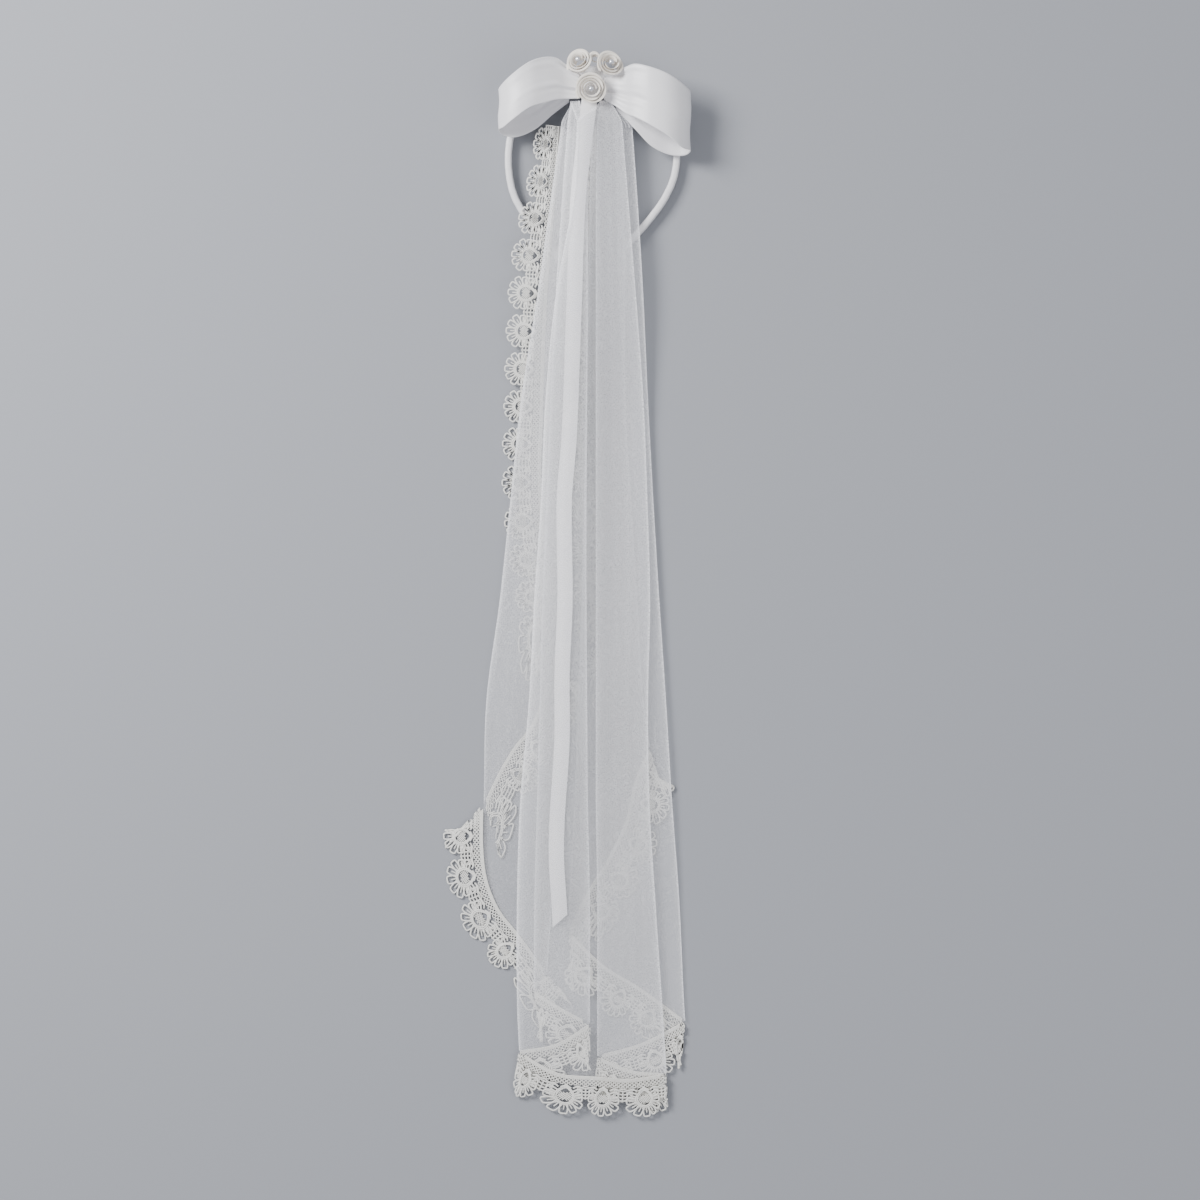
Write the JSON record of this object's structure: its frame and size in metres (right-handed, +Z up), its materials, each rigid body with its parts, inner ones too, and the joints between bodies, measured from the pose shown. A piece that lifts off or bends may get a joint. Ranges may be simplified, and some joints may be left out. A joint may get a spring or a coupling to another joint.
{
  "type": "communion veil on a headband with a bow",
  "caption": "Folded tulle veil laid flat, edged with scalloped guipure lace, gathered under a satin bow with ribbon roses on a narrow headband.",
  "frame": {"origin": "on the surface, under the middle of the whole piece", "axes": "+Y from the veil's hem towards the bow, +X to the right seen from above, +Z up from the surface"},
  "size_m": [0.1844, 0.7962, 0.0374],
  "materials": {
    "tulle": "fine sheer net",
    "lace": "thick matt guipure cord",
    "satin": "smooth satin ribbon",
    "band_satin": "satin ribbon wound tight",
    "rose_satin": "rolled ivory satin",
    "crystal": "faceted clear stone"
  },
  "bodies": {
    "root": {"tulle_pass_0": "tulle", "tulle_pass_1": "tulle", "tulle_pass_2": "tulle", "tulle_pass_3": "tulle", "tulle_pass_4": "tulle", "tulle_pass_5": "tulle", "tulle_pass_6": "tulle", "tulle_pass_7": "tulle", "tulle_pass_8": "tulle", "tulle_pass_9": "tulle", "tulle_pass_10": "tulle", "tulle_pass_11": "tulle", "heading_left": "tulle", "heading_right": "tulle", "lace_stretch_0": "lace", "lace_stretch_1": "lace", "lace_stretch_2": "lace", "lace_stretch_3": "lace", "lace_stretch_4": "lace", "lace_stretch_5": "lace", "lace_stretch_6": "lace", "lace_stretch_7": "lace", "lace_stretch_8": "lace", "lace_stretch_9": "lace", "lace_stretch_10": "lace", "lace_stretch_11": "lace", "bow_loop_left": "satin", "bow_loop_right": "satin", "bow_waist": "satin", "ribbon_tail": "satin", "headband": "band_satin", "rose_front": "rose_satin", "rose_left": "rose_satin", "rose_right": "rose_satin", "rose_back": "rose_satin", "stone_front": "crystal", "stone_left": "crystal", "stone_right": "crystal"}
  },
  "joints": []
}
